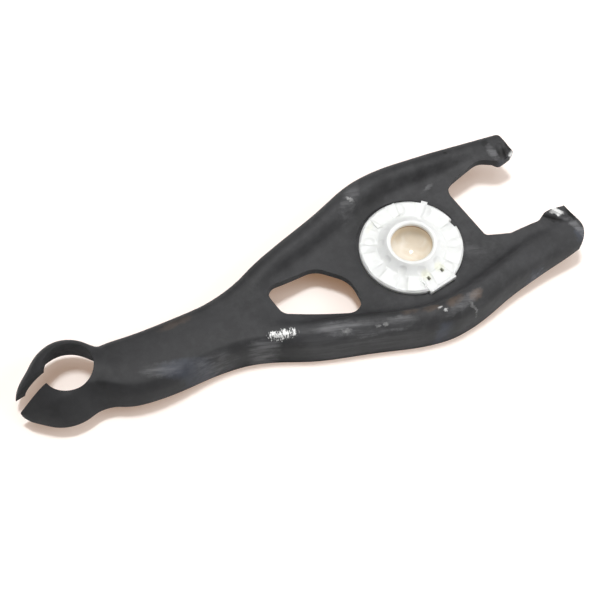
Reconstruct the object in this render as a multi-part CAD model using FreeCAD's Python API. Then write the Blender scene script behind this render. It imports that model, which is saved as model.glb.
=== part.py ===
"""Clutch release fork: a pressed steel lever with a snapped-in ball socket.

Frame, in millimetres: the origin is the centre of the pivot ball, +X runs from
it to the finger ends, +Z points out of the socket's mouth to the gearbox, and
the near side is -Y.  The pieces are drawn standing on the flanges' straight
edges at z = 0 and are lowered by the ball's height when they are exported.
"""
import FreeCAD, Part
import math
import os

from FreeCAD import Vector as V

# ---- pivot and sheet --------------------------------------------------------
BALL_R = 9.0                # pivot ball that the seat takes
SEAT_WALL = 2.0
SEAT_GAP = 0.1              # between the seat and what holds it
SHEET = 3.5                 # thickness of the pressing
DISH_CLEAR = 0.4            # height of the dish's back above the plane of the feet
BALL_Z = BALL_R + SEAT_WALL + SEAT_GAP + SHEET + DISH_CLEAR

# ---- form of the pressing ---------------------------------------------------
FLANGE_SINK = -6.0          # how far the untrimmed pressing reaches down
FLANGE_TOP = 5.0            # the flanges are upright up to here
STATION_PITCH = 6.0         # spacing of the sections along the lever
EYE_STATION = -120.0        # from here to the nose the sections lie closer together
EYE_STATIONS = 26
EYE_STEPS = 8               # circles between the eye's round part and its nose
NOSE_CUT = 0.25             # the first section lies this far inside the nose
FINGER_END = 62.1           # both fingers are cut on this line
FIRST_STATION = FINGER_END + 9.9
WEB_Z = BALL_Z - 3.0        # upper face of the web round the socket
CREST_Z = WEB_Z + 6.0       # ridges on both sides of the web
EYE_TOP = 21.0              # top of the dome round the cable's hole
FOLD_RUN = 3.5              # run of the fold at a ridge's foot
SHOULDER = 4.8              # rounding between a flange and its ridge
FLANK_LEAN = 0.7            # sine of the slope between a ridge and the web

# Outline of the pressing as (x, y): the outer face of its two flanges.
FAR_WALL = [(-140, 35.4), (-126, 34.6), (-114, 31.8), (-97, 28.6), (-82, 26.4), (-70, 27.4),
            (-58, 30.7), (-47, 32.5), (-25, 35.5), (-2, 39.4), (8, 38.6), (25, 34.5),
            (51, 26.8), (72, 20.2)]
NEAR_WALL = [(-140, 12.6), (-133, 10.6), (-130, 8.4), (-124, 6.0), (-110, 3.4), (-96, 2.6),
             (-84, 0.4), (-72, -5.2), (-58, -14.6), (-36, -25.4), (-16, -35.4), (-4, -38.8),
             (8, -39.2), (24, -38.0), (40, -38.4), (54, -39.8), (72, -40.4)]
# The eye's outline is a large circle and a smaller one at its nose: (x, y, radius).
EYE_ROUND = (-144.6, 29.3, 17.4)
EYE_NOSE = (-152.9, 31.0, 12.0)
# Height of the ridges, height between them, and their width, along x.
RIDGE_HEIGHT = [(-165, 7.4), (-161, 10.5), (-157, 14.0), (-151, 17.0), (-145, 18.0),
                (-132, 17.6), (-124, 16.8), (-110, 16.6), (-70, 17.2), (-40, CREST_Z),
                (20, CREST_Z), (50, 17.2), (72, 17.0)]
MIDDLE_HEIGHT = [(-165, 8.6), (-161, 12.2), (-157, 15.8), (-152, 19.4), (-146, EYE_TOP),
                 (-132, EYE_TOP), (-122, 19.6), (-110, 18.4), (-100, 18.2), (-74, 17.6),
                 (-62, 16.0), (-50, 13.2), (-38, WEB_Z), (28, WEB_Z), (38, 14.4), (50, 16.2),
                 (72, 16.6)]
FAR_RIDGE = [(-137, 7.5), (-80, 9.0), (-62, 11.0), (-40, 11.5), (-5, 12.5), (20, 11.5),
             (36, 10.0), (72, 8.0)]
NEAR_RIDGE = [(-137, 7.5), (-80, 9.0), (-62, 12.0), (-40, 12.5), (-5, 12.0), (20, 12.0),
              (36, 13.0), (72, 13.0)]
# Inward lean of the flanges above the eye's rim, as run over rise.
EYE_RIM = 7.0
NEAR_LEAN = [(-165, 0.45), (-140, 0.45), (-128, 0.2), (-119, 0.0)]
FAR_LEAN = [(-165, 0.4), (-156, 0.3), (-147, 0.15), (-138, 0.04), (-120, 0.0)]
# Lower edge of the flanges, seen from the side; it is straight along the foot.
FOOT = (-84.0, 4.0)
FLANGE_EDGE = [(-176, EYE_RIM), (-128, EYE_RIM), (-112, 5.0), (-96, 1.6), (FOOT[0], 0.0),
               (FOOT[1], 0.0), (20, 2.6), (36, 5.4), (50, 8.6), (58, 11.6), (76, 14.0)]

# ---- hole for the cable -----------------------------------------------------
EYE_HOLE_X, EYE_HOLE_Y, EYE_HOLE_R = -140.9, 30.6, 9.9
SLIT_WIDTH = 6.0
SLIT_NEAR_Y = 29.6

# ---- openings of the web ----------------------------------------------------
WINDOW = [((-60.9, 17.6), 5.0), ((-37.6, 15.4), 10.0), ((-28.4, 3.0), 12.0),
          ((-31.2, -13.6), 5.5), ((-60.4, 4.0), 4.5)]
SLOT = [((28.8, 15.0), 5.5), ((47.4, 16.0), 7.0), ((54.6, 9.9), 3.0), ((60.0, 9.5), 1.5),
        ((63.4, 11.2), 0.0), ((90.0, 11.2), 0.0), ((90.0, -22.4), 0.0), ((64.0, -22.4), 0.0),
        ((60.5, -21.4), 2.0), ((54.2, -19.2), 2.5), ((49.2, -21.4), 3.0),
        ((37.0, -18.6), 3.0), ((28.8, -12.8), 2.5)]
FAR_CORNER_R = 2.6
NEAR_CORNER_R = 9.0
# Trough pressed across the inner corner of each finger: (start, end) of its axis.
TROUGHS = [((52.2, -17.6), (58.4, -27.4)), ((54.2, 7.4), (58.6, 15.6))]
TROUGH_R = 2.8
TROUGH_DEPTH = 2.3
TROUGH_FADE = 1.8           # how much shallower it is at its end
FINGER_TOP = 16.8           # upper face of the fingers where the troughs are

# ---- ball socket ------------------------------------------------------------
SEAT_RIM = 0.4              # height of the seat's rim above the ball's centre
RING_R = 21.2
COIN = 0.2                  # depth of the flat that is coined under the ring
RING_Z = WEB_Z - COIN       # face that the ring sits on
RING_EDGE = 2.4             # thickness of the ring
RING_TOP = BALL_Z + 2.3     # lip round the mouth
LIP_R = BALL_R + 1.6
HUB_R = BALL_R + 5.0        # foot of the hub's cone
MOUTH_R = BALL_R - 0.5
EASE = 0.6                  # bevel on the ring's edges
SCALLOPS = 10               # soft hollows round the hub
SCALLOP_AT = RING_R - 4.0   # their distance from the axis
SCALLOP_R = 8.0             # radius of the ball-shaped cutter
SCALLOP_DEPTH = 0.8
NUB_ANGLE, NUB_WIDTH, NUB_OUT = 38.0, 2.6, 1.1      # gate mark on the ring's edge
RING_ROOM = NUB_OUT + 0.3   # flat that stays free round the ring
TAB_WIDTH = 12.6
FAR_TAB, NEAR_TAB = RING_R - 1.0, RING_R + 0.3      # straight outer edges of the snap tabs
TAB_ROOT = 2.4              # how far a tab reaches in behind its hook
HOOK_WIDTH = 9.6
HOOK_IN = RING_R - 4.5
HOOK_OUT = HOOK_IN + 1.7
HOOK_GAP = 0.3              # between the hook and its hole in the web
HOOK_ROOM = 1.6             # space behind the hook to spring back into
BARB = 1.5
BARB_DROP = 2.2
CORE_HOLE = (1.3, 1.7)
CORE_PITCH = 6.6
NOTCH_WIDTH, NOTCH_DEPTH, NOTCH_Y = 3.6, 1.3, -1.3


def smooth(keys, x):
    """Smooth value at x through the (x, value) keys, with no overshoot."""
    if x <= keys[0][0]:
        return keys[0][1]
    if x >= keys[-1][0]:
        return keys[-1][1]
    slopes = [(b[1] - a[1]) / (b[0] - a[0]) for a, b in zip(keys, keys[1:])]
    ends = [slopes[0]] + [0.0 if s * t <= 0 else 2 * s * t / (s + t)
                          for s, t in zip(slopes, slopes[1:])] + [slopes[-1]]
    i = max(k for k in range(len(keys) - 1) if keys[k][0] <= x)
    span = keys[i + 1][0] - keys[i][0]
    t = (x - keys[i][0]) / span
    return ((1 + 2 * t) * (1 - t) ** 2 * keys[i][1] + t * (1 - t) ** 2 * span * ends[i]
            + t * t * (3 - 2 * t) * keys[i + 1][1] + t * t * (t - 1) * span * ends[i + 1])


def eye_reach(x, depth, side):
    """How far the eye reaches to one side at x, a depth inside its outline, or None."""
    reach = None
    for i in range(EYE_STEPS + 1):
        t = i / EYE_STEPS
        cx, cy, r = (a + (b - a) * t for a, b in zip(EYE_ROUND, EYE_NOSE))
        room = (r - depth) ** 2 - (x - cx) ** 2
        if room > 0:
            y = cy + side * math.sqrt(room)
            reach = y if reach is None else side * max(side * reach, side * y)
    return reach


def walls(x, depth):
    """y of the near and the far flange at x, a depth inside their outer faces."""
    found = []
    for keys, side in ((NEAR_WALL, -1), (FAR_WALL, 1)):
        stem = smooth(keys, x) - side * depth if x > EYE_ROUND[0] else None
        eye = eye_reach(x, depth, side)
        choice = [y for y in (stem, eye) if y is not None]
        found.append(side * max(side * y for y in choice))
    return found


def half_section(wall, inward, half, ridge, height, middle, shoulder, lean, rim):
    """Control points from a flange's foot to the web, on one side of the middle.

    Where the middle is the lower one it is a web between two ridges; where it
    is the higher one the section is a single arch.  Above the rim the flange
    leans inwards.
    """
    fold = FOLD_RUN * min(1.0, half / 12)
    moved = lean * max(height - rim, 0.0)
    ridge = min(ridge, half - moved - 1.3 * fold)
    shoulder = min(shoulder, 0.42 * ridge)
    low = min(height, middle)
    crown = max(height - low, 0.0) / (CREST_Z - WEB_Z)
    rise = middle - low

    def side(run, z):
        return (wall + inward * (run + lean * max(z - rim, 0.0)), z)

    def point(run, z):
        run += moved
        return (wall + inward * run, z + rise * (1 - (1 - run / half) ** 2))
    return [(wall, FLANGE_SINK),
            side(0.0, FLANGE_TOP),
            side(0.08 * shoulder, height - 1.5 * shoulder),
            side(0.26 * shoulder, height - 0.5 * shoulder),
            point(shoulder, height + 0.3 * crown),
            point(0.6 * ridge, height + 0.6 * crown),
            point(0.85 * ridge, height + 0.2 * crown),
            point(ridge + 0.14 * fold, low + 0.9 * crown),
            point(ridge + fold, low)]


def section(x, depth):
    """Control points (y, z) of the pressing's outer face, or of the face a depth inside it."""
    near, far = walls(x, depth)
    height, middle = smooth(RIDGE_HEIGHT, x) - depth, smooth(MIDDLE_HEIGHT, x) - depth
    pocket = min(max((height - middle) / (CREST_Z - WEB_Z), 0.0), 1.0)
    lost = depth * (1.0 + FLANK_LEAN * pocket)
    shoulder = SHOULDER - 0.6 * depth
    half = (far - near) / 2
    sides = []
    for wall, inward, ridge, lean in ((near, 1, NEAR_RIDGE, NEAR_LEAN), (far, -1, FAR_RIDGE, FAR_LEAN)):
        lean = smooth(lean, x)
        sides.append(half_section(wall, inward, half, smooth(ridge, x) - lost, height, middle, shoulder,
                                  lean, EYE_RIM - depth * lean / 2))
    return sides[0] + [((near + far) / 2, middle)] + sides[1][::-1]


def stations(depth):
    """x of each section: evenly spaced along the stem, ever closer towards the nose."""
    nose = EYE_NOSE[0] - EYE_NOSE[2] + depth + NOSE_CUT
    plain = int(round((FIRST_STATION - EYE_STATION) / STATION_PITCH))
    stem = [FIRST_STATION + (EYE_STATION - FIRST_STATION) * i / plain for i in range(plain)]
    eye = [EYE_STATION + (nose - EYE_STATION) * math.sin(math.pi / 2 * i / EYE_STATIONS)
           for i in range(EYE_STATIONS + 1)]
    return (stem + eye)[::-1]


def knots(count):
    """Evenly spaced clamped knots and their multiplicities for degree three."""
    inner = count - 3
    return [i / inner for i in range(inner + 1)], [4] + [1] * (inner - 1) + [4]


def block_under(depth):
    """Solid under the pressing's outer face, or under it less a depth."""
    rows = []
    for x in stations(depth):
        rows.append([V(x, y, z) for y, z in section(x, depth)])
        for foot in (rows[-1][0], rows[-1][-1]):
            foot.z = FLANGE_SINK - depth
    along, along_mults = knots(len(rows))
    across, across_mults = knots(len(rows[0]))
    surface = Part.BSplineSurface()
    surface.buildFromPolesMultsKnots(rows, along_mults, across_mults, along, across,
                                     False, False, 3, 3)
    sides = [surface.vIso(v).toShape() for v in (0.0, 1.0)]
    ends = [surface.uIso(u).toShape() for u in (0.0, 1.0)]
    feet = [Part.makeLine(row[0], row[-1]) for row in (rows[0], rows[-1])]
    faces = [surface.toShape(), Part.Face(Part.Wire([sides[0], feet[1], sides[1], feet[0]]))]
    faces += [Part.Face(Part.Wire([end, foot])) for end, foot in zip(ends, feet)]
    shell = Part.Shell(faces)
    shell.sewShape()
    solid = Part.Solid(shell)
    if solid.Volume < 0:
        solid.reverse()
    return solid


def rounded_outline(corners):
    """Closed wire through (point, radius) corners, each rounded to its radius."""
    arcs, starts, stops = [], [], []
    for i, (point, radius) in enumerate(corners):
        here = V(*point, 0)
        back = (V(*corners[i - 1][0], 0) - here).normalize()
        ahead = (V(*corners[(i + 1) % len(corners)][0], 0) - here).normalize()
        half = back.getAngle(ahead) / 2
        run = radius / math.tan(half)
        starts.append(here + back * run)
        stops.append(here + ahead * run)
        middle = here + (back + ahead).normalize() * (radius / math.sin(half) - radius)
        arcs.append([Part.Arc(starts[-1], middle, stops[-1]).toShape()] if radius else [])
    wire = []
    for arc, stop, start in zip(arcs, stops, starts[1:] + starts[:1]):
        wire += arc + [Part.makeLine(stop, start)]
    return Part.Wire(wire)


def prism(wire, low, high):
    """Solid of a plan outline between two heights."""
    face = Part.Face(wire)
    face.translate(V(0, 0, low))
    return face.extrude(V(0, 0, high - low))


def below_flanges():
    """Everything under the lower edge of the flanges, to be trimmed away."""
    low, width = FLANGE_SINK - 8, 90.0
    edges = []
    for start, stop in ((-176, FOOT[0]), (FOOT[1], 76)):
        curve = Part.BSplineCurve()
        points = [V(start + (stop - start) * i / 6, -width, 0) for i in range(7)]
        for point in points:
            point.z = smooth(FLANGE_EDGE, point.x)
        curve.interpolate(points)
        edges.append(curve)
    first, second = edges
    corners = [second.EndPoint, V(second.EndPoint.x, -width, low),
               V(first.StartPoint.x, -width, low), first.StartPoint]
    edges = [first.toShape(), Part.makeLine(first.EndPoint, second.StartPoint),
             second.toShape()]
    edges += [Part.makeLine(a, b) for a, b in zip(corners, corners[1:])]
    return Part.Face(Part.Wire(edges)).extrude(V(0, 2 * width, 0))


def corner_cut(x, y, radius, toward):
    """Prism that rounds the outer corner of a finger."""
    centre = V(x - radius, y - toward * radius, 0)
    outer = V(x + 20, y + toward * 20, 0)
    square = Part.makePolygon([centre, V(outer.x, centre.y, 0), outer,
                               V(centre.x, outer.y, 0), centre])
    return prism(square, -20, 40).cut(Part.makeCylinder(radius, 60, V(centre.x, centre.y, -20)))


def ball(radius):
    return Part.makeSphere(radius, V(0, 0, BALL_Z))


def capsule(start, stop, height, radius):
    """Round-ended rod between two plan points, rising by the fade to its end."""
    a, b = V(start[0], start[1], height), V(stop[0], stop[1], height + TROUGH_FADE)
    rod = Part.makeCylinder(radius, (b - a).Length, a, b - a)
    return rod.fuse([Part.makeSphere(radius, a), Part.makeSphere(radius, b)])


def finger_troughs():
    """Bead under each finger end, and the trough over it."""
    height = FINGER_TOP + TROUGH_R - TROUGH_DEPTH
    below = Part.makeBox(60, 120, FINGER_TOP - SHEET / 2 + 20, V(30, -60, -20))
    beads = [capsule(a, b, height, TROUGH_R + SHEET).common(below) for a, b in TROUGHS]
    return beads, [capsule(a, b, height, TROUGH_R) for a, b in TROUGHS]


def web_dish():
    """Spherical dish that the web is pressed into behind the seat."""
    inner = BALL_R + SEAT_WALL + SEAT_GAP
    low = Part.makeBox(60, 60, WEB_Z - SHEET / 2 + 20, V(-30, -30, -20))
    return ball(inner + SHEET).common(low), ball(inner)


def hook_holes(grow):
    """Holes of the two snap hooks, larger than the hooks all round."""
    holes = []
    for side in (1, -1):
        low, high = HOOK_IN - grow, HOOK_OUT + grow + HOOK_ROOM
        width = HOOK_WIDTH + 2 * grow
        y = low if side > 0 else -high
        holes.append(Part.makeBox(width, high - low, 40, V(-width / 2, y, -10)))
    return holes


def fork_lever():
    """The pressing: die form less punch form, trimmed, pierced and coined."""
    sheet = block_under(0.0).cut(block_under(SHEET)).cut(below_flanges())
    dish, hollow = web_dish()
    beads, troughs = finger_troughs()
    sheet = sheet.fuse([dish] + beads).cut([hollow] + troughs + hook_holes(HOOK_GAP))
    end = Part.makeBox(40, 200, 80, V(FINGER_END, -100, -40))
    slot = prism(rounded_outline(SLOT), -20, 40)
    window = prism(rounded_outline(WINDOW), -20, 40)
    eye_hole = Part.makeCylinder(EYE_HOLE_R, 60, V(EYE_HOLE_X, EYE_HOLE_Y, -20))
    slit = Part.makeBox(40, SLIT_WIDTH, 60, V(EYE_HOLE_X - 40, SLIT_NEAR_Y, -20))
    far_y, near_y = smooth(FAR_WALL, FINGER_END), smooth(NEAR_WALL, FINGER_END)
    corners = [corner_cut(FINGER_END, far_y, FAR_CORNER_R, 1),
               corner_cut(FINGER_END, near_y, NEAR_CORNER_R, -1)]
    seat_flat = Part.makeCylinder(RING_R + RING_ROOM, 4, V(0, 0, RING_Z))
    return sheet.cut([end, slot, window, eye_hole, slit, seat_flat] + corners)


def socket_retainer():
    """Moulded ring that snaps into the web and keeps the ball in its seat."""
    bore = BALL_R + SEAT_WALL + SEAT_GAP
    top, edge = RING_TOP, RING_Z + RING_EDGE
    ceiling = BALL_Z + SEAT_RIM + SEAT_GAP
    profile = [(bore, RING_Z), (RING_R, RING_Z), (RING_R, edge - EASE), (RING_R - EASE, edge),
               (HUB_R, edge), (LIP_R, top - EASE), (LIP_R - EASE, top), (MOUTH_R + EASE, top),
               (MOUTH_R, top - EASE), (MOUTH_R, ceiling), (bore, ceiling)]
    wire = Part.makePolygon([V(r, 0, z) for r, z in profile + profile[:1]])
    body = Part.Face(wire).revolve(V(0, 0, 0), V(0, 0, 1), 360)

    scallops = []
    for i in range(SCALLOPS):
        turn = 2 * math.pi * i / SCALLOPS
        scallops.append(Part.makeSphere(SCALLOP_R, V(SCALLOP_AT * math.cos(turn),
                                                     SCALLOP_AT * math.sin(turn),
                                                     edge + SCALLOP_R - SCALLOP_DEPTH)))
    body = body.cut(scallops)
    nub = Part.makeBox(NUB_OUT + 2, NUB_WIDTH, RING_EDGE - EASE,
                       V(RING_R - 2, -NUB_WIDTH / 2, RING_Z))
    nub.rotate(V(0, 0, 0), V(0, 0, 1), NUB_ANGLE)
    body = body.fuse(nub)

    for side, reach in ((1, FAR_TAB), (-1, NEAR_TAB)):
        tab = Part.makeBox(TAB_WIDTH, reach - HOOK_IN + TAB_ROOT, RING_EDGE,
                           V(-TAB_WIDTH / 2, HOOK_IN - TAB_ROOT, RING_Z))
        leg_low = WEB_Z - SHEET - BARB_DROP
        hook = Part.makePolygon([V(0, HOOK_IN, RING_Z + 0.5), V(0, HOOK_OUT, RING_Z + 0.5),
                                 V(0, HOOK_OUT, leg_low), V(0, HOOK_IN, leg_low),
                                 V(0, HOOK_IN - BARB, WEB_Z - SHEET - 0.9),
                                 V(0, HOOK_IN - BARB, WEB_Z - SHEET - 0.2),
                                 V(0, HOOK_IN, WEB_Z - SHEET - 0.2), V(0, HOOK_IN, RING_Z + 0.5)])
        leg = Part.Face(hook).extrude(V(HOOK_WIDTH, 0, 0))
        leg.translate(V(-HOOK_WIDTH / 2, 0, 0))
        if side < 0:
            tab.rotate(V(0, 0, 0), V(0, 0, 1), 180)
            leg.rotate(V(0, 0, 0), V(0, 0, 1), 180)
        body = body.fuse([tab, leg])
    wide, deep = CORE_HOLE
    cores = [Part.makeBox(wide, deep, 20, V(x - wide / 2, -HOOK_IN, 5))
             for x in (-CORE_PITCH / 2, CORE_PITCH / 2)]
    body = body.cut(cores)

    notch = Part.makeBox(5, NOTCH_WIDTH, 10, V(RING_R - NOTCH_DEPTH, NOTCH_Y - NOTCH_WIDTH / 2, RING_Z - 1))
    body = body.cut(notch)
    return body.removeSplitter()


def ball_seat():
    """Glossy cup in the dish that the pivot ball turns in."""
    cup = ball(BALL_R + SEAT_WALL).cut(ball(BALL_R))
    above = Part.makeBox(60, 60, 40, V(-30, -30, BALL_Z + SEAT_RIM))
    return cup.cut(above)


def one_solid(shape):
    """The shape's single solid."""
    if len(shape.Solids) != 1:
        raise ValueError("expected one solid, found %d" % len(shape.Solids))
    return shape.Solids[0]


def main():
    os.makedirs("parts", exist_ok=True)
    for make in (fork_lever, socket_retainer, ball_seat):
        solid = one_solid(make())
        solid.translate(V(0, 0, -BALL_Z))
        solid.exportStep("parts/%s.step" % make.__name__)
        print(make.__name__, solid.isValid(), round(solid.Volume))


main()
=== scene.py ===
"""Looks of a pressed steel clutch fork with a white snap-in retainer and an amber ball seat."""
from math import cos, radians, sin

import bpy
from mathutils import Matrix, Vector


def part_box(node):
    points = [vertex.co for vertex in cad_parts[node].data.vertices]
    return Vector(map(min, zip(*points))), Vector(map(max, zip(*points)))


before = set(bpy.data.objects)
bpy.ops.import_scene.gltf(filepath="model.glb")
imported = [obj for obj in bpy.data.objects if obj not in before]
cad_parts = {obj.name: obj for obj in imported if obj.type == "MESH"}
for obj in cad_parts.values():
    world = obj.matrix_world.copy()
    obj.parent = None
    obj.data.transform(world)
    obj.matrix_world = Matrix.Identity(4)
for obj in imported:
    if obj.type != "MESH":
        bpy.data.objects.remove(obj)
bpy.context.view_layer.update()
MM = 0.001


# ---- shader maths -----------------------------------------------------------
class Value:
    """A number in a node tree: arithmetic on it adds Math nodes."""

    def __init__(self, paint, socket):
        self.paint, self.socket = paint, socket

    def math(self, operation, *others):
        return Value(self.paint, self.paint.node("ShaderNodeMath", {"operation": operation},
                                                 dict(enumerate((self,) + others))))

    def __add__(self, other):
        return self.math("ADD", other)

    def __sub__(self, other):
        return self.math("SUBTRACT", other)

    def __rsub__(self, other):
        return (self * -1.0).math("ADD", other)

    def __mul__(self, other):
        return self.math("MULTIPLY", other)

    def __pow__(self, other):
        return self.math("POWER", other)

    __radd__, __rmul__ = __add__, __mul__

    def low(self, other):
        return self.math("MINIMUM", other)

    def high(self, other):
        return self.math("MAXIMUM", other)

    def clip(self):
        return self.high(0.0).low(1.0)

    def ramp(self, start, stop):
        """0 at start, 1 at stop, smooth between them, whichever of the two is the larger."""
        run = (self * (1.0 / (stop - start)) + (-start / (stop - start))).clip()
        return run * run * (3.0 - 2.0 * run)


class Paint:
    """One material and its node tree."""

    SHAKE = 3.2 * MM               # how far the edges of painted marks wander
    SHAKE_SCALE = 420.0            # bumps per metre along those edges

    def __init__(self, name):
        self.material = bpy.data.materials.new(name)
        self.material.use_nodes = True
        self.tree = self.material.node_tree
        self.tree.nodes.clear()
        self.place, self.axes, self.ragged = None, None, None

    def node(self, kind, settings, sockets, out=0):
        """Adds a node: its settings first, then its sockets' values or links; gives one output."""
        node = self.tree.nodes.new(kind)
        for name, value in settings.items():
            setattr(node, name, value)
        for name, value in sockets.items():
            source = value.socket if isinstance(value, Value) else value
            if isinstance(source, bpy.types.NodeSocket):
                self.tree.links.new(source, node.inputs[name])
            else:
                node.inputs[name].default_value = source
        return node.outputs[out] if node.outputs else None

    def position(self):
        """Object coordinates, one node for the whole material."""
        if self.place is None:
            self.place = self.node("ShaderNodeTexCoord", {}, {}, "Object")
        return self.place

    def millimetres(self, vector):
        """The three parts of a vector in metres, each in millimetres."""
        split = self.node("ShaderNodeSeparateXYZ", {}, {0: vector})
        return [Value(self, socket) * (1 / MM) for socket in split.node.outputs]

    def xyz(self):
        """x, y and z in millimetres."""
        if self.axes is None:
            self.axes = self.millimetres(self.position())
        return self.axes

    def ragged_xy(self):
        """x and y in millimetres, shaken a little so that painted marks get ragged edges."""
        if self.ragged is None:
            shake = self.node("ShaderNodeTexNoise", {},
                              {"Vector": self.position(), "Scale": self.SHAKE_SCALE,
                               "Detail": 3.0, "Roughness": 0.7}, "Color")
            shake = self.node("ShaderNodeVectorMath", {"operation": "SUBTRACT"},
                              {0: shake, 1: (0.5, 0.5, 0.5)})
            moved = self.node("ShaderNodeVectorMath", {"operation": "MULTIPLY_ADD"},
                              {0: shake, 1: (self.SHAKE,) * 3, 2: self.position()})
            self.ragged = self.millimetres(moved)[:2]
        return self.ragged

    def noise(self, size, detail, rough, degrees=0.0, length=1.0, warp=0.0):
        """Noise from 0 to 1 with features of a size in mm, drawn out along a direction in plan."""
        placed = self.node("ShaderNodeMapping", {"vector_type": "TEXTURE"},
                           {"Vector": self.position(), "Rotation": (0.0, 0.0, radians(degrees)),
                            "Scale": (size * length * MM, size * MM, size * MM)})
        return Value(self, self.node("ShaderNodeTexNoise", {},
                                     {"Vector": placed, "Scale": 1.0, "Detail": detail,
                                      "Roughness": rough, "Distortion": warp}))

    def spot(self, x, y, along, across, degrees):
        """1 at the middle of an ellipse in plan, falling to 0 at its edge; sizes in mm."""
        east, north = self.ragged_xy()
        east, north = east - x, north - y
        turn = radians(degrees)
        u = (east * cos(turn) + north * sin(turn)) * (1 / along)
        v = (north * cos(turn) - east * sin(turn)) * (1 / across)
        return (1.0 - (u * u + v * v)).ramp(0.0, 1.0)

    def spots(self, marks):
        """The strongest of several spots, each scaled by its last number."""
        found = None
        for *place, strength in marks:
            mark = self.spot(*place) * strength
            found = mark if found is None else found.high(mark)
        return found

    def blend(self, mask, under, over):
        """Colour that goes from under to over as the mask goes from 0 to 1."""
        return self.node("ShaderNodeMix", {"data_type": "RGBA"},
                         {"Factor": mask, 6: under, 7: over}, 2)

    def bump(self, height, depth, strength):
        """Normal for a surface that rises by a depth in metres where the height is 1."""
        return self.node("ShaderNodeBump", {},
                         {"Height": height, "Distance": depth, "Strength": strength})

    def finish(self, shader):
        """Ends the tree on a shader and gives the material."""
        self.node("ShaderNodeOutputMaterial", {}, {"Surface": shader})
        return self.material

    def principled(self, sockets):
        return self.finish(self.node("ShaderNodeBsdfPrincipled", {}, sockets))


# ---- materials --------------------------------------------------------------
MILL_DARK = (0.025, 0.025, 0.026, 1.0)
MILL_PALE = (0.038, 0.038, 0.040, 1.0)
MILL_PATCH = (0.054, 0.054, 0.056, 1.0)
STEM_DARK = (0.014, 0.014, 0.015, 1.0)
RUST_BROWN = (0.125, 0.085, 0.060, 1.0)
HEAT_BLUE = (0.066, 0.075, 0.100, 1.0)
RUB_AND_SHEEN_GREY = (0.170, 0.170, 0.176, 1.0)
SOOT_AND_SHADE_BLACK = (0.006, 0.006, 0.006, 1.0)
BARE_STEEL = (0.66, 0.66, 0.65, 1.0)

MILK_DULL = (0.75, 0.76, 0.74, 1.0)
MILK_PALE = (0.80, 0.81, 0.79, 1.0)
MILK_SHADE_YELLOW = (0.76, 0.77, 0.60, 1.0)

SEAT_DULL = (0.74, 0.66, 0.54, 1.0)
SEAT_PALE = (0.82, 0.77, 0.68, 1.0)
SEAT_AMBER = (0.82, 0.68, 0.48, 1.0)
SEAT_LIP_SHADE_BROWN = (0.30, 0.16, 0.07, 1.0)

FLOOR_SHEET = (0.86, 0.85, 0.84, 1.0)
FLOOR_TAN = (0.23, 0.125, 0.065, 1.0)
WHITE = (1.0, 1.0, 1.0, 1.0)

# Marks on the lever, each (x, y, along, across, degrees, strength), with lengths in mm.
# Lighter marks: rubbing wear, and painted sheen along the near ridge's crest and, broad and faint,
# over that ridge.
RUBBED_AND_SHEEN = [(-43, -17, 20, 3.8, -33, 0.6), (-27, -25.5, 10, 3.2, -25, 0.5),
          (-9, 30.5, 11, 4.0, 38, 0.35), (0, -33.5, 11, 2.6, 3, 0.5),
          (-112, 10, 10, 3.4, -25, 0.3), (-94, 3, 12, 3.4, -15, 0.3),
          (23.5, 18.8, 4.4, 1.0, 12, 0.4), (20, -15, 8, 3.5, -55, 0.2),
          (54.6, 15, 2.4, 5.6, 0, 0.6), (59.4, -33, 2.0, 8.5, 8, 0.6), (36, -39.5, 8, 2.0, 0, 0.5),
          (-74, -3, 8, 3, -26, 0.5), (-42, -21, 34, 8.0, -33, 0.14)]
CHIPS = [(-44.8, -17.2, 2.6, 1.1, -30, 0.22), (-33.6, -22.4, 1.4, 0.9, -30, 0.30),
         (-31.0, -23.4, 1.3, 0.8, -30, 0.25), (-9.2, -30.0, 1.1, 0.7, -20, 0.5),
         (-8.2, -32.0, 1.3, 0.7, 0, 0.5), (-8.9, -41.0, 1.8, 3.6, 12, 0.30),
         (2.6, -36.5, 0.9, 2.8, 25, 0.15), (39.4, -40.2, 1.2, 0.9, 0, 0.7),
         (-9.2, 30.1, 2.2, 0.9, -50, 0.25), (-49.5, -20.3, 1.0, 0.9, 0, 0.4),
         (57.8, -22.0, 3.4, 1.6, -60, 1.0), (60.8, 10.3, 1.8, 1.1, 10, 1.0)]
RUST = [(-2.5, -31, 5, 2.6, 0, 0.5), (6, -33.5, 4.0, 2.4, 0, 0.8), (-12, -28.5, 5, 1.8, -20, 0.35),
        (-20, -24.5, 5, 1.8, -25, 0.3), (-98, 24, 9, 2.5, -10, 0.25), (58.2, 12.6, 2.0, 1.6, 0, 0.8)]
BLUED = [(-12, -37.6, 6, 3.2, 0, 0.6), (34.7, -39.5, 7, 2.8, 0, 0.7), (-104, 6, 14, 4.5, -25, 0.5),
         (-139, 47, 8, 2.5, 0, 0.4), (58.5, -36, 3, 4.0, 0, 0.5), (53, 8.5, 5, 1.8, 15, 0.7)]
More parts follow.
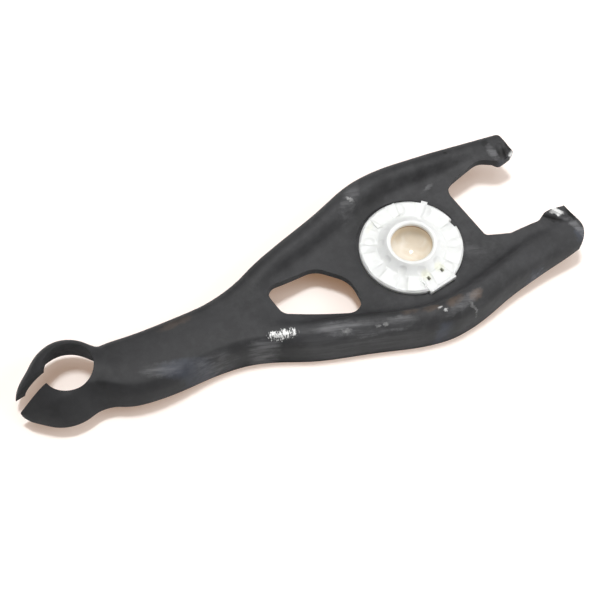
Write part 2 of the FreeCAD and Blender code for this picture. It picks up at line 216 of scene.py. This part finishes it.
# Black marks: soot smudges, and painted shade in the finger troughs, along the fingers' end edges,
# in the far ridge's fold, on the web by the ring, on the far ridge and low on the near ridge.
SOOT_AND_SHADE = [(54.6, -23.4, 5.6, 2.5, -64, 1.0), (61.4, -26.4, 1.5, 4.2, -8, 1.0),
        (58.4, 12.9, 2.8, 2.4, 30, 1.0), (61.8, 13.6, 1.3, 3.6, 0, 1.0),
        (37.5, 25.9, 1.3, 1.1, 0, 0.8), (54.4, 20.7, 2.4, 1.6, 20, 0.6),
        (-133.6, 18.3, 2.4, 2.8, 0, 0.4), (-127, 17.7, 2.0, 3.0, 0, 0.35),
        (-70, -8.5, 13, 3.5, -25, 0.5), (-3, 24, 24, 4.4, 25, 0.35),
        (-26, 4, 17, 24, 0, 0.25), (-48, 27, 16, 7, 25, 0.2)]
FILED = (-66.0, -3.8, 9.6, 3.6, -26)           # filed patch on the near ridge
RIDGE_DEGREES = -28                            # drawn streaks run along the near ridge
FILE_DEGREES = RIDGE_DEGREES + 90              # and the file's scratches across it

# Yellowish painted shade on the retainer: round its two core holes and at the far tab.
YELLOW_SHADE_SPOTS = [(-3.3, -14.5, 2.6, 3.2, 0, 0.6), (3.3, -14.5, 2.6, 3.2, 0, 0.6),
          (-9, 16.5, 3.6, 2.0, 30, 0.3)]
PADS, PAD_TURN = 10.0, 2.2                     # pads round the ring, and their turn in radians
PAD_INNER, PAD_OUTER = (13.4, 15.0), (21.0, 20.2)   # radii in mm over which a pad's ends rise

LEVER_MIDDLE = (-50.0 * MM, 0.0, 0.0)          # lamps are aimed at it
SHADOW_FROM, SHADOW_TO = 200.0, 600.0          # mm from there over which the tan turns white


def pressed_steel():
    """Charcoal mill skin: cloudy, drawn streaks along the near ridge, worn by rubbing, chipped and
    filed; painted sheen on the ridges, painted shade in troughs and folds.
    """
    paint = Paint("pressed_steel")
    x, _, _ = paint.xyz()
    cloud = paint.noise(24, 3.0, 0.6, warp=0.4)
    patch = paint.noise(5, 4.0, 0.65)
    grain = paint.noise(0.9, 2.0, 0.6)
    drawn = paint.noise(1.6, 3.0, 0.6, degrees=RIDGE_DEGREES, length=9.0)
    colour = paint.blend(cloud.ramp(0.32, 0.68), MILL_DARK, MILL_PALE)
    colour = paint.blend(patch.ramp(0.35, 0.75) * 0.6, colour, MILL_PATCH)
    colour = paint.blend(x.ramp(10.0, -150.0) * 0.55, colour, STEM_DARK)
    colour = paint.blend(paint.spots(RUST) * patch.ramp(0.25, 0.6), colour, RUST_BROWN)
    colour = paint.blend(paint.spots(BLUED) * cloud.ramp(0.2, 0.6), colour, HEAT_BLUE)
    # lighter grey for rubbing wear and for painted sheen on the ridges
    rub_and_sheen = paint.spots(RUBBED_AND_SHEEN) * (0.25 + drawn.ramp(0.35, 0.7))
    colour = paint.blend(rub_and_sheen.clip(), colour, RUB_AND_SHEEN_GREY)
    # soot smudges, and painted shade in troughs, folds and on flanks
    colour = paint.blend(paint.spots(SOOT_AND_SHADE), colour, SOOT_AND_SHADE_BLACK)
    file_lines = paint.noise(0.7, 2.0, 0.7, degrees=FILE_DEGREES, length=2.6)
    filed = (paint.spot(*FILED) * 0.55 + file_lines).ramp(0.90, 1.08) * 0.9
    bright = (paint.spots(CHIPS) * (0.3 + patch.ramp(0.3, 0.6))).clip().high(filed)
    colour = paint.blend(bright, colour, BARE_STEEL)
    rough = 0.50 + 0.12 * cloud + 0.06 * grain - 0.10 * rub_and_sheen - 0.15 * bright
    relief = paint.bump(0.5 * grain + 0.5 * patch, 0.1 * MM, 0.6)
    return paint.principled({"Base Color": colour, "Roughness": rough, "Metallic": 0.3 * bright,
                             "Specular IOR Level": 0.26, "Normal": relief})


def retainer_plastic():
    """Milky moulded plastic, with yellowish painted shade round its core holes and at its far tab,
    and pads with narrow grooves between as relief.
    """
    paint = Paint("retainer_plastic")
    haze = paint.noise(6, 2.0, 0.5)
    colour = paint.blend(haze.ramp(0.3, 0.7), MILK_DULL, MILK_PALE)
    # yellowish painted shade round the core holes and at the far tab
    colour = paint.blend(paint.spots(YELLOW_SHADE_SPOTS), colour, MILK_SHADE_YELLOW)
    x, y, _ = paint.xyz()
    radius = (x * x + y * y) ** 0.5
    pads = (y.math("ARCTAN2", x) * PADS + PAD_TURN).math("COSINE").ramp(-0.75, -0.2)
    pads = pads * radius.ramp(*PAD_INNER) * radius.ramp(*PAD_OUTER)
    return paint.principled({"Base Color": colour, "Roughness": 0.38, "Specular IOR Level": 0.4,
                             "Subsurface Weight": 0.7, "Subsurface Radius": (1.0, 1.0, 0.95),
                             "Subsurface Scale": 4.0 * MM,
                             "Normal": paint.bump(pads, 0.6 * MM, 0.7)})


def seat_plastic():
    """Glossy cup: pale at the bottom, amber above, with painted shade in brown round the top, where
    the retainer's lip overhangs.
    """
    paint = Paint("seat_plastic")
    _, _, z = paint.xyz()
    haze = paint.noise(7, 2.0, 0.5, warp=1.0)
    colour = paint.blend(haze.ramp(0.3, 0.7), SEAT_DULL, SEAT_PALE)
    colour = paint.blend(z.ramp(-5.0, -2.4) * 0.6, colour, SEAT_AMBER)
    # a brown band at the top is painted shade under the retainer's lip
    colour = paint.blend(z.ramp(-1.2, -0.7), colour, SEAT_LIP_SHADE_BROWN)
    return paint.principled({"Base Color": colour, "Roughness": 0.16, "Coat Weight": 0.3,
                             "Coat Roughness": 0.08})


def floor_paint():
    """Pale floor. To the camera it also glows: faintly tan round the lever, so that the shadow there
    is warm, and white far off."""
    paint = Paint("floor_paint")
    x, y, _ = paint.xyz()
    east = x - LEVER_MIDDLE[0] / MM
    away = ((east * east + y * y) ** 0.5).ramp(SHADOW_FROM, SHADOW_TO)
    tint = paint.blend(away, FLOOR_TAN, WHITE)
    sheet = paint.node("ShaderNodeBsdfDiffuse", {}, {"Color": FLOOR_SHEET})
    glow = paint.node("ShaderNodeEmission", {}, {"Color": tint, "Strength": 1.0})
    both = paint.node("ShaderNodeAddShader", {}, {0: sheet, 1: glow})
    seen = paint.node("ShaderNodeLightPath", {}, {}, "Is Camera Ray")
    return paint.finish(paint.node("ShaderNodeMixShader", {}, {0: seen, 1: sheet, 2: both}))


def dress(node, material):
    """Gives a CAD node its finish."""
    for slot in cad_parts[node].material_slots:
        slot.material = material


# ---- studio -----------------------------------------------------------------
FLOOR_HALF = 3.0                             # half the floor's side, in metres
FLOOR_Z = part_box("fork_lever")[0].z          # the lever's lowest edge rests on the floor

# Square area lamps, each (name, place in metres, side in metres, power in watts).
LAMPS = [("overhead", (0.03, 0.18, 1.1), 0.16, 8.0),
         ("ceiling", (0.1, 0.3, 1.3), 1.4, 5.5),
         ("side_fill", (0.7, -0.7, 0.6), 0.9, 7.0)]
SURROUND = 0.26                              # level of the world as a light

# Where the camera is and looks, in metres, with its lens and sensor in mm.
EYE = (-0.16252, -0.15344, 0.38877)
LOOK_AT = (-0.04991, 0.00738, -0.005)
LENS, SENSOR = 66.0, 36.0


def put_in_scene(name, data):
    thing = bpy.data.objects.new(name, data)
    bpy.context.scene.collection.objects.link(thing)
    return thing


def aim(thing, place, target):
    """Puts a lamp or the camera at a place and turns it to a target."""
    thing.location = place
    thing.rotation_euler = (Vector(target) - Vector(place)).to_track_quat("-Z", "Y").to_euler()


def floor_plane():
    half, z = FLOOR_HALF, FLOOR_Z
    mesh = bpy.data.meshes.new("floor")
    mesh.from_pydata([(-half, -half, z), (half, -half, z), (half, half, z), (-half, half, z)],
                     [], [(0, 1, 2, 3)])
    mesh.materials.append(floor_paint())
    put_in_scene("floor", mesh)


def softbox(name, place, size, power):
    """Square area lamp turned to the middle of the lever."""
    lamp = bpy.data.lights.new(name, "AREA")
    lamp.size, lamp.energy = size, power
    holder = put_in_scene(name, lamp)
    aim(holder, place, LEVER_MIDDLE)


def backdrop():
    """World that is white to the camera and lights the lever more dimly."""
    world = bpy.data.worlds.new("studio")
    world.use_nodes = True
    nodes, links = world.node_tree.nodes, world.node_tree.links
    seen, level = nodes.new("ShaderNodeLightPath"), nodes.new("ShaderNodeMath")
    level.operation = "MAXIMUM"
    level.inputs[1].default_value = SURROUND
    nodes["Background"].inputs["Color"].default_value = WHITE
    links.new(seen.outputs["Is Camera Ray"], level.inputs[0])
    links.new(level.outputs[0], nodes["Background"].inputs["Strength"])
    bpy.context.scene.world = world


def studio():
    floor_plane()
    for lamp in LAMPS:
        softbox(*lamp)
    backdrop()
    bpy.context.scene.view_settings.view_transform = "Standard"


def camera():
    lens = bpy.data.cameras.new("camera")
    lens.lens, lens.sensor_width = LENS, SENSOR
    eye = put_in_scene("camera", lens)
    aim(eye, EYE, LOOK_AT)
    bpy.context.scene.camera = eye


dress("fork_lever", pressed_steel())
dress("socket_retainer", retainer_plastic())
dress("ball_seat", seat_plastic())
studio()
camera()
